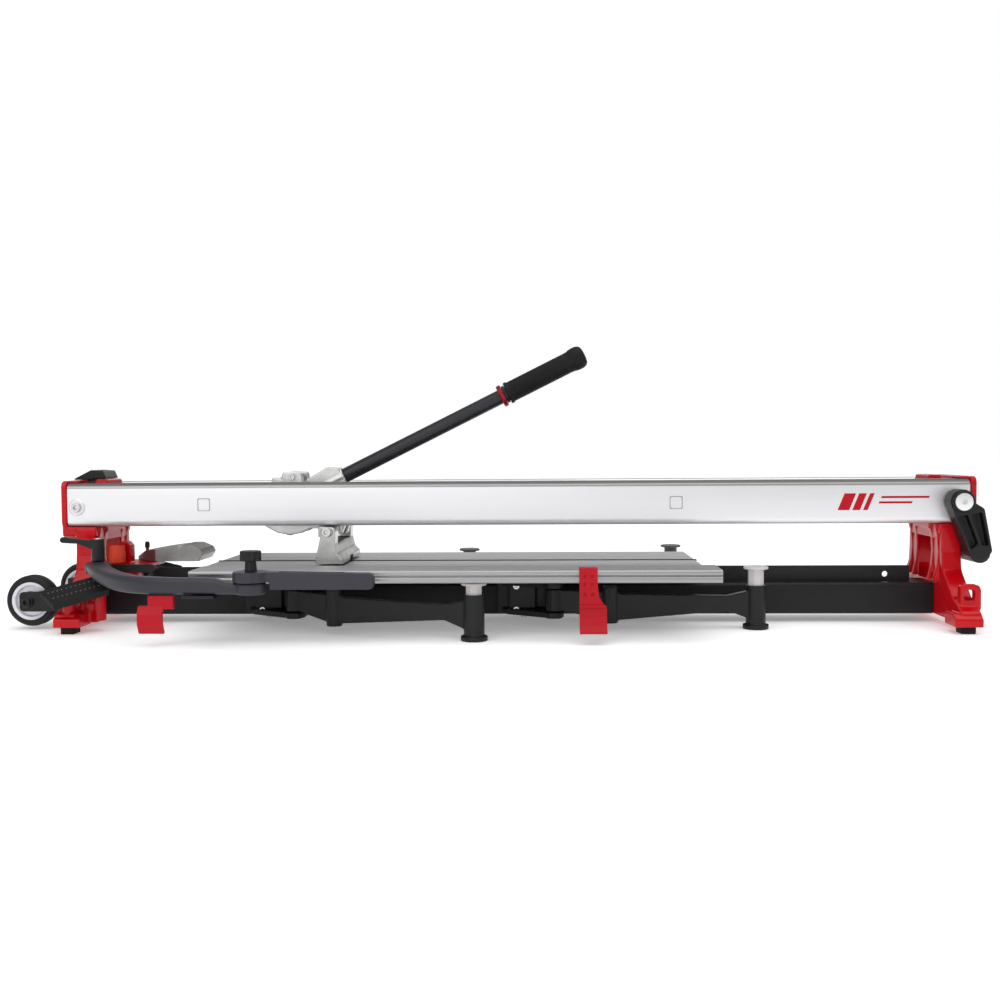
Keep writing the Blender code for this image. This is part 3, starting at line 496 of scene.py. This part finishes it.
def make_beam():
    a, b = low("beam"), high("beam")
    corner, wall = 4 * MM, 3 * MM
    corners = rectangle(a.y, b.y, a.z, b.z, corner)
    core = rectangle(a.y + wall, b.y - wall, a.z + wall, b.z - wall)
    beam = hollow_section("beam_section", corners, core, a.x, b.x)
    place(beam, "base", "beam_paint", replaced=("beam",))


def make_castings():
    for end in ("left", "right"):
        skin(end + "_casting", 1.1, 4)
    for end in ("left", "right"):
        for side, _ in SIDES:
            skin(f"{end}_{side}_foot", 0.9, 4)
    skin("carriage_bumper", 0.8, 4)
    skin("wheel_bracket", 0.9, 3)


def top_corners(node):
    """The upper corners of a tilted plate, sorted along X."""
    plan = {}
    for x, y, z in {tuple(round(c, 5) for c in v.co) for v in frame["nodes"][node].data.vertices}:
        spot = (round(x, 4), round(y, 4))
        plan[spot] = max(z, plan.get(spot, z))
    return sorted((Vector((x, y, z)) for (x, y), z in plan.items()), key=lambda corner: corner.x)


def make_step_pads():
    """Tilted treads with two rows of small round studs."""
    radius, per_row, sunk = 0.95 * MM, 11, 0.3 * MM
    stud = [(0, 0), (radius, 0), (radius * 0.9, 0.5 * MM), (radius * 0.5, 0.8 * MM), (0, 0.9 * MM)]
    for side, _ in SIDES:
        node = side + "_step_pad"
        skin(node, 0.9, 4)
        first, near, far, last = top_corners(node)
        along = ((last - near) + (far - first)) / 2
        aside = near - first
        normal = along.cross(aside).normalized()
        normal *= 1 if normal.z > 0 else -1
        built = bmesh.new()
        for i in range(per_row):
            for j in range(2):
                spot = first + along * (0.09 + 0.82 * i / (per_row - 1)) + aside * (0.28 + 0.36 * j)
                add_lathe(built, stud, spot - normal * sunk, normal, 10)
        place(as_object(side + "_step_studs", built), "base", "rubber", look="stud_grey")


def make_wheels():
    """Tyres, rims and hub covers, the axle, and the nuts on the bracket's outer arms."""
    tread = [(0.72, -0.86), (0.80, -0.98), (0.90, -0.92), (0.965, -0.7), (0.995, -0.45), (0.995, -0.12),
             (0.965, -0.08)]
    hub = [(0.16, -0.8), (0.40, -0.8), (0.43, -0.45), (0.58, -0.42), (0.62, -0.82), (0.735, -0.9)]
    hub_cover = [(0.155, 0.7), (0.39, 0.7), (0.38, 0.86), (0.26, 0.95), (0.155, 0.95)]
    for side, sign in SIDES:
        node = side + "_wheel"
        centre = middle(node)
        radius, half = disc_size(node)
        tyre = lathe(side + "_tyre", both_ways(shares(radius, half, tread)), centre, (0, 1, 0), 96)
        place(tyre, node, "tyre", replaced=(node,))
        rim = lathe(side + "_rim", both_ways(shares(radius, half, hub)), centre, (0, 1, 0), 72)
        place(rim, node, "tyre", look="pale_rim")
        for way in (-1, 1):
            name = f"{side}_hub_cover_{'in' if way * sign < 0 else 'out'}"
            cover = lathe(name, shares(radius, half, hub_cover), centre, (0, way, 0), 48)
            place(cover, node, "tyre", look="black_plastic")
        nut = machine(-638, sign * 102.2, 38)
        screw(side + "_wheel_nut", nut, (0, sign, 0), 6.0, "base", "black_plastic")
    dress("wheel_axle", 0.6)


# ---------------------------------------------------------------- carriage and lever
def make_carriage():
    """Cast body, lever root, holder and pressing foot, their screws, the rollers and the scoring wheel."""
    skin("carriage_body", 0.9, 4)
    skin("lever_casting", 0.8, 4)
    skin("scoring_holder", 0.6, 2)
    skin("breaker_foot", 0.7, 4)
    bolt = hinge_point("breaker_rock")
    roller = [(0.35, -1), (0.75, -1), (0.78, -0.85), (0.95, -0.85), (1, -0.6)]
    for side, sign in SIDES:
        face = face_y("carriage_body", sign)
        spot = (bolt.x, face - sign * 0.6 * MM, bolt.z)
        screw(side + "_breaker_screw", spot, (0, sign, 0), 6.4, "carriage")
        screw(side + "_lug_screw", machine(-301, sign * 27.2, 199), (0, sign, 0), 4.5, "carriage")
        for end in ("left", "right"):
            node = f"{side}_{end}_roller"
            profile = both_ways(shares(*disc_size(node), roller))
            place(lathe(node + "_fine", profile, middle(node), (0, 1, 0), 40), node, "steel",
                  replaced=(node,))
    node, edge = "scoring_wheel", 0.1 * MM
    radius, half = disc_size(node)
    profile = both_ways(shares(radius, half, [(0.18, -1), (0.62, -1)]) + [(radius * 0.99, -edge)])
    place(lathe(node + "_fine", profile, middle(node), (0, 1, 0), 64), node, "steel", replaced=(node,))


def make_lever():
    """Tube, red collar and ribbed grip, turned about the lever's own line."""
    course = Vector((cos(LEVER_ANGLE), 0, sin(LEVER_ANGLE)))
    start = machine(-231, 0, 201)
    tube = scaled([(8, -25), (10, -25), (10, 356), (8, 356)])
    place(lathe("lever_tube_fine", tube, start, course, 64), "lever", "tube_paint",
          replaced=("lever_tube",))
    collar = scaled([(10.3, 239), (12.5, 239), (14.6, 239.4), (15.5, 240.2), (15.5, 244.6), (15.0, 245.2),
                     (10.3, 245.2)])
    place(lathe("grip_collar_fine", collar, start, course, 64), "lever", "red_anodised",
          replaced=("grip_collar",))
    flange = scaled([(10.3, 245.5), (12.5, 245.5), (12.4, 249.7), (10.3, 249.7)])
    place(lathe("grip_flange", flange, start, course, 64), "lever", "black_plastic")
    grip = [(10.3, 250), (14.6, 250), (15.4, 250.6), (15.4, 253.8), (14.2, 255)]
    first_rib, ribs, pitch, groove, crest = 257.0, 41, 2.0, 13.95, 14.3
    for k in range(ribs):
        foot = first_rib + k * pitch
        grip += [(groove, foot), (crest, foot + 0.4), (crest, foot + 1.1), (groove, foot + 1.5)]
    grip += [(14.2, 343), (14.4, 347), (15.4, 350), (15.9, 355), (15.7, 360), (14.2, 364.4),
             (11.2, 366.9), (7, 367.8), (0.5, 368), (0.5, 359), (10.3, 359)]
    place(lathe("lever_grip_fine", scaled(grip), start, course, 72, 50), "lever", "rubber",
          replaced=("lever_grip",))


# ---------------------------------------------------------------- tables, arms and stop
def make_tables():
    for side, _ in SIDES:
        dress(side + "_table", 0.35)
        dress(side + "_pivot_bar", 0.8)
    dress("breaking_strip", 0.4)


def elbow(name, sign):
    """The top of an arm's middle leg, where its short part from the hinge meets the long one."""
    hinge = hinge_point(name + "_arm_swing")
    reach = middle(name + "_post") - hinge
    short, long, bend = 75 * MM, 190 * MM, radians(20)
    lead = atan2(long * sin(bend), short + long * cos(bend)) * sign
    course = atan2(reach.y, reach.x) + lead
    return (hinge.x + short * cos(course), hinge.y + short * sin(course), high(name + "_arm").z)


def make_post(name, look):
    """A post: a round cap over a stem with eight rounded edges."""
    node = name + "_post"
    centre, bottom, top = middle(node), low(node).z, high(node).z
    cap = [(0, -4.6), (9.0, -4.6), (11.0, -3.6), (15.0, -3.5), (15.7, -2.9), (15.7, -1.0), (15.2, -0.3),
           (13.8, 0), (12.6, -0.5), (0, -0.5)]
    built = bmesh.new()
    add_lathe(built, scaled(cap), (centre.x, centre.y, top), UP, 64)
    radius, rounding = 10.3 * MM, 1.2 * MM
    angles = [pi * k / 4 + pi / 8 for k in range(8)]
    octagon = [(centre.x + radius * cos(t), centre.y + radius * sin(t), rounding) for t in angles]
    add_prism(built, octagon, "Z", bottom, top - 3.4 * MM)
    place(as_object(node + "_fine", built), node, "light_plastic", look=look, replaced=(node,))


def make_bracket_screws(name, sign):
    """Two screws on a bracket's face, a bolt under it and a cap on the arm's hinge."""
    hinge, beam = hinge_point(name + "_arm_swing"), middle("beam")
    for k, height in enumerate((20, 52)):
        spot = (hinge.x - 50 * MM, beam.y + sign * 50.3 * MM, height * MM)
        screw(f"{name}_bracket_screw_{k}", spot, (0, sign, 0), 4.6, "base")
    spot = (hinge.x - 40 * MM, beam.y + sign * 52 * MM, 13 * MM)
    screw(name + "_lower_bolt", spot, (0, 0, -1), 4.2, "base")
    spot = (hinge.x, hinge.y, high(name + "_bracket").z - 0.5 * MM)
    screw(name + "_hinge_cap", spot, UP, 6.0, "base", head=DOMED_HEAD)


def make_arms():
    """Moulded arms with a pale ring on the middle leg as a painted highlight, and a lip round the post's
    socket, on their brackets.
    """
    ring = scaled([(5.2, -2), (9.4, -2), (9.4, -0.6), (8.6, 0), (6.2, 0), (5.2, -0.8)])
    lip = scaled([(11.0, -3), (12.9, -3), (12.9, -0.5), (12.3, 0), (11.4, 0), (11.0, -0.5)])
    for side, sign in SIDES:
        for end in ("left", "right"):
            name = f"{side}_{end}"
            arm = name + "_arm"
            skin(arm, 1.0, 4)
            skin(name + "_bracket", 1.0, 4)
            # Painted highlight: the pale ring over the top of the middle leg.
            place(lathe(name + "_leg_highlight_ring", ring, elbow(name, sign), UP, 40), arm, "light_plastic")
            post = middle(name + "_post")
            socket = (post.x, post.y, high(arm).z)
            place(lathe(name + "_socket_lip", lip, socket, UP, 48), arm, "black_plastic")
            # Painted shade: the rear posts' caps are coloured dark grey, the front ones keep the light
            # moulding.
            make_post(name, "rear_cap_painted_shade" if side == "rear" else None)
            make_bracket_screws(name, sign)


def smooth_course(stations, steps=10):
    """Points of a smooth curve through stations, which are tuples of one length."""
    points = []
    for i in range(len(stations) - 1):
        four = [stations[max(i - 1, 0)], stations[i], stations[i + 1],
                stations[min(i + 2, len(stations) - 1)]]
        for k in range(steps + (i == len(stations) - 2)):
            t = k / steps
            points.append([0.5 * (2 * q + (r - p) * t + (2 * p - 5 * q + 4 * r - o) * t * t
                                  + (3 * q - p - 3 * r + o) * t ** 3) for p, q, r, o in zip(*four)])
    return points


def add_sweep(built, stations):
    """A bar with rounded edges through stations of (x, y, low, high, half width), in millimetres."""
    count, squareness = 32, 0.6
    points = smooth_course(stations)
    rings = []
    for i, (x, y, bottom, top, half) in enumerate(points):
        before, after = points[max(i - 1, 0)], points[min(i + 1, len(points) - 1)]
        course = Vector((after[0] - before[0], after[1] - before[1])).normalized()
        ring = []
        for k in range(count):
            c, s = cos(2 * pi * k / count), sin(2 * pi * k / count)
            across = abs(c) ** squareness * (1 if c > 0 else -1) * half
            up = abs(s) ** squareness * (1 if s > 0 else -1) * (top - bottom) / 2
            ring.append(machine(x - course.y * across, y + course.x * across, (top + bottom) / 2 + up))
        rings.append(ring)
    add_rings(built, rings)


def make_stop_arm():
    """A curved bar and the hubs at its ends, run together into one moulding."""
    stations = [(-545, -96, 77, 91, 13), (-532, -122, 75.6, 91, 14), (-510, -157, 70.5, 90, 13),
                (-479, -190, 65, 87, 11.5), (-445, -210, 63.6, 85, 10.5), (-400, -218.5, 64, 84, 10),
                (-356, -220, 64, 83.5, 10), (-336, -220, 64, 78.2, 10), (-312, -220, 64, 78.2, 10)]
    hubs = ((-542, -100, [(0, 76.6), (15.6, 76.6), (16.6, 78), (16.6, 87), (14.5, 90), (9, 91.2), (0, 91.2)]),
            (-308, -220, [(0, 64), (16.8, 64), (17.8, 65.2), (17.8, 76.4), (16.8, 78), (0, 78)]))
    built = bmesh.new()
    add_sweep(built, stations)
    for x, y, profile in hubs:
        add_lathe(built, scaled(profile), machine(x, y, 0), UP, 48)
    node = "stop_arm"
    arm = run_together(as_object(node + "_fine", built), 1.0, 3)
    place(arm, BODY_OF[node], SLOT_OF[node], replaced=(node,))


def make_stop_levers():
    """The finger bar, and the clamping lever with its hub's screw."""
    skin("stop_finger", 0.8, 4)
    skin("clamp_lever", 0.7, 4)
    hub = hinge_point("clamp_lever_turn")
    screw("clamp_hub_screw", (hub.x, hub.y, high("clamp_lever").z - 5 * MM), UP, 5.0, "clamp_lever")


def make_clips():
    """The clip under the arm, and the ruler's clip with a cut side, six pockets and a ledge."""
    skin("left_clip", 0.5, 3)
    face, pocket = -198.6, 3.4
    wedge = prism("wedge", side_outline([(106, 99), (106, 72), (108, 56), (116, 44), (122, 44), (122, 99)]),
                  "Y", machine_y(-215), machine_y(-175))
    cutters = [wedge]
    for x in (89, 98):
        for z in (80, 70, 58):
            a, b = machine(x, face - 2, z), machine(x + pocket, face + 1.4, z + pocket)
            cutters.append(prism("pocket", rectangle(a.x, b.x, a.z, b.z), "Y", a.y, b.y))
    skin("right_clip", 0.45, 2, cutters=cutters)
    a, b = machine(84.5, face - 2.6, 43), machine(116, face + 0.5, 47)
    outline = [(a.y, a.z + 1.2 * MM, 0.8 * MM), (b.y, a.z), (b.y, b.z), (a.y, b.z, 1.2 * MM)]
    place(prism("right_clip_ledge", outline, "X", a.x, b.x), "right_clip", "red_plastic")


def make_stop_knob():
    """A fluted knob over a flared neck and a stud."""
    axis = hinge_point("stop_knob_turn")
    bottom, top = low("stop_knob").z, high("stop_knob").z
    radius, flutes, flute_depth, count = 12.2, 12, 0.75, 96
    angles = [2 * pi * k / count for k in range(count)]
    rings = []
    for height, share in ((-12, 0.93), (-11, 1.0), (-1.6, 1.0), (-0.4, 0.95), (0, 0.86)):
        reaches = [share * (radius + flute_depth * cos(flutes * t)) * MM for t in angles]
        rings.append([(axis.x + reach * cos(t), axis.y + reach * sin(t), top + height * MM)
                      for reach, t in zip(reaches, angles)])
    built = bmesh.new()
    add_rings(built, rings)
    stud = scaled([(0, 0), (3.9, 0), (3.9, 25), (7.4, 25.6), (7, 30), (6.4, 38.5), (0, 38.5)])
    add_lathe(built, stud, (axis.x, axis.y, bottom), UP, 40)
    place(as_object("stop_knob_fine", built), "stop_knob", "black_plastic", replaced=("stop_knob",))


def make_ruler():
    """The ruler's extrusion, a grooved plate with two beads along its edge, and the tab below it."""
    a, b = low("ruler_rail"), high("ruler_rail")
    depth, plate, bead = 61, 4.6, 2.6
    near = b.y - depth * MM

    def at(y, z):
        return (near + y * MM, b.z + z * MM)

    corners = []
    steps = 8
    for bead_top, height in ((0, 7.0), (-7.6, 8.0)):
        for k in range(steps + 1):
            angle = pi / 2 + pi * k / steps
            corners.append(at(bead + bead * cos(angle), bead_top - height / 2 + height / 2 * sin(angle)))
    corners += [at(4.6, -15.6), at(5, -15), at(5, -plate), at(depth, -plate), at(depth, 0)]
    for groove in (48, 36, 24, 14, 8):
        corners += [at(groove + 0.7, 0), at(groove + 0.5, -0.8), at(groove - 0.5, -0.8), at(groove - 0.7, 0)]
    place(prism("ruler_extrusion", corners, "X", a.x, b.x), "ruler", "table_aluminium",
          replaced=("ruler_rail",))
    left, foot = a.x + 2 * MM, a.z
    back, front, sheet = near + 4.4 * MM, near + 0.6 * MM, 3.5 * MM
    outline = [(a.y, foot, 0.8 * MM), (back, foot, 2 * MM), (back, foot + 16 * MM),
               (front, foot + 16 * MM), (front, foot + sheet, 1.5 * MM), (a.y, foot + sheet, 0.8 * MM)]
    tab = prism("ruler_tab", outline, "X", left + 0.8 * MM, left + 39.2 * MM)
    place(tab, "ruler", "table_aluminium", look="black_plastic")


def make_mitre():
    """The cast plate with ribs on its end, its bracket's cover and its pin's sleeve."""
    skin("mitre_plate", 0.7, 3, look="dull_cast")
    skin("mitre_bracket", 0.7, 3)
    a, b = low("mitre_plate"), high("mitre_plate")
    ribs, half_width = 7, 1.6 * MM
    rib = [(b.x + x * MM, b.z + z * MM)
           for x, z in ((-30, -6), (-0.6, -12), (-2.4, -5.0), (-16, 0.7), (-30, 0.3))]
    built = bmesh.new()
    for k in range(ribs):
        y = a.y + (b.y - a.y) * (0.12 + 0.76 * k / (ribs - 1))
        add_prism(built, rib, "Y", y - half_width, y + half_width)
    place(as_object("mitre_ribs", built), "mitre_plate", "cast_metal", look="dull_cast")
    outline = side_outline([(-545, 77.5), (-520, 73), (-484, 72.5), (-476, 78), (-484, 83.6), (-545, 83.6)])
    cover = prism("mitre_shelf_cover", outline, "Y", machine_y(-66), machine_y(-59.6))
    place(cover, "base", "black_plastic")
    sleeve = scaled([(2.45, -3), (3.3, -3), (3.3, 1.5), (2.6, 5.2), (2.45, 5.2)])
    place(lathe("mitre_pin_sleeve", sleeve, machine(-513, 0, 104), UP, 24), "base", "steel",
          look="black_plastic")


def make_lock_knob():
    axis, a, b = hinge_point("lock_knob_turn"), low("lock_knob"), high("lock_knob")
    radius = (b.x - a.x) / 2
    profile = shares(radius, MM, [(0, 0), (0.93, 0), (1, 1), (1, 15), (0.95, 16), (0.95, 22), (0.86, 24),
                                  (0, 24)])
    place(lathe("lock_knob_fine", profile, (axis.x, axis.y, a.z), UP, 48), "lock_knob", "orange_plastic",
          replaced=("lock_knob",))


def make_handle():
    """The carrying yoke: two arms with recessed panels round a middle rib, and their bolts."""
    node = "carrying_handle"
    panels = ([(571.5, 145.5), (585, 147), (599, 110), (590.5, 102)],
              [(589.5, 148), (603, 150.5), (612.5, 107), (603.5, 108.5)])
    cutters = []
    for _, sign in SIDES:
        face = face_y(node, sign)
        start, end = sorted((face - sign * 11 * MM, face + sign * 5 * MM))
        cutters += [prism("panel", side_outline(panel, 1.5 * MM), "Y", start, end) for panel in panels]
    skin(node, 0.8, 3, cutters=cutters)
    pivot = hinge_point("handle_swing")
    ring = scaled([(11.9, -4), (14.4, -4), (14.4, -1.2), (13.6, -0.2), (12.2, -0.2), (11.9, -0.8)])
    r = 11.7
    disc = scaled([(0, -70), (5, -70), (5, -4), (r, -3.8), (r, -1.4), (r * 0.95, -0.5), (r * 0.82, 0),
                   (r * 0.30, 0), (r * 0.28, -0.6), (r * 0.28, -4), (0, -4)])
    for side, sign in SIDES:
        node = side + "_handle_bolt"
        start = (pivot.x, face_y(node, sign), pivot.z)
        place(lathe(side + "_handle_ring", ring, start, (0, sign, 0), 64), "base", "steel",
              look="black_plastic")
        place(lathe(side + "_handle_disc", disc, start, (0, sign, 0), 72), "base", "steel",
              look="bright_disc", replaced=(node,))


# ---------------------------------------------------------------- studio
def make_camera():
    """The viewpoint in front of the machine, a little above the guides and right of its middle."""
    offset = middle("beam")
    camera = add_object("camera", bpy.data.cameras.new("camera"))
    camera.data.sensor_width = 36.0
    camera.data.lens = 39.13
    camera.data.clip_end = 50
    camera.location = (offset.x + 0.037, offset.y - 1.5, 0.2327)
    yaw, pitch, roll = radians(2.1), radians(2.58), radians(-0.37)
    camera.rotation_euler = (Matrix.Rotation(yaw, 3, "Z") @ Matrix.Rotation(pi / 2 - pitch, 3, "X")
                             @ Matrix.Rotation(roll, 3, "Z")).to_euler()
    bpy.context.scene.camera = camera


def make_light(name, spot, target, size, power):
    lamp = bpy.data.lights.new(name, "AREA")
    lamp.shape = "RECTANGLE"
    lamp.size, lamp.size_y = size
    lamp.energy = power
    holder = add_object(name, lamp)
    holder.location = spot
    holder.rotation_euler = (Vector(target) - Vector(spot)).to_track_quat("-Z", "Y").to_euler()


def make_floor():
    """A wide white floor that glows a little, so that it stays as pale as the background."""
    half, glow = 12.0, 0.25
    mesh = bpy.data.meshes.new("floor")
    mesh.from_pydata([(-half, -half, 0), (half, -half, 0), (half, half, 0), (-half, half, 0)], [],
                     [(0, 1, 2, 3)])
    floor = add_object("floor", mesh)
    paper = surface("floor_paper", (0.97, 0.97, 0.97), 0.8, spread=0.005, bump=0.0)
    shader = paper.node_tree.nodes["Principled BSDF"]
    shader.inputs["Emission Color"].default_value = (1, 1, 1, 1)
    shader.inputs["Emission Strength"].default_value = glow
    floor.data.materials.append(paper)


def make_world():
    """A white background that lights the object less than it shows itself to the camera."""
    world = bpy.data.worlds.new("studio")
    world.use_nodes = True
    nodes, links = world.node_tree.nodes, world.node_tree.links
    background = nodes["Background"]
    background.inputs["Color"].default_value = (1, 1, 1, 1)
    seen = nodes.new("ShaderNodeLightPath")
    level = nodes.new("ShaderNodeMapRange")
    level.inputs["To Min"].default_value = 0.38
    level.inputs["To Max"].default_value = 1.0
    links.new(seen.outputs["Is Camera Ray"], level.inputs["Value"])
    links.new(level.outputs["Result"], background.inputs["Strength"])
    bpy.context.scene.world = world
    bpy.context.scene.view_settings.view_transform = "Standard"


def make_studio():
    make_floor()
    make_world()
    sun = bpy.data.lights.new("sky", "SUN")
    sun.energy = 1.6
    sun.angle = radians(70)
    add_object("sky", sun).rotation_euler = (radians(12), radians(6), 0)
    make_light("key", (-1.5, -2.0, 1.9), (-0.2, 0, 0.1), (1.4, 0.9), 10)
    make_light("front", (-0.9, -3.2, 0.9), (-0.2, 0, 0.2), (2.6, 1.0), 13)
    make_light("right", (2.6, -1.2, 1.1), (0.3, 0, 0.1), (0.8, 1.4), 6)
    make_light("back", (0.3, 3.2, 1.6), (0, 0, 0.1), (3.0, 1.0), 14)


make_camera()
make_studio()
make_guides()
make_guide_details()
make_beam()
make_castings()
make_step_pads()
make_wheels()
make_carriage()
make_lever()
make_tables()
make_arms()
make_stop_arm()
make_stop_levers()
make_clips()
make_stop_knob()
make_ruler()
make_mitre()
make_lock_knob()
make_handle()
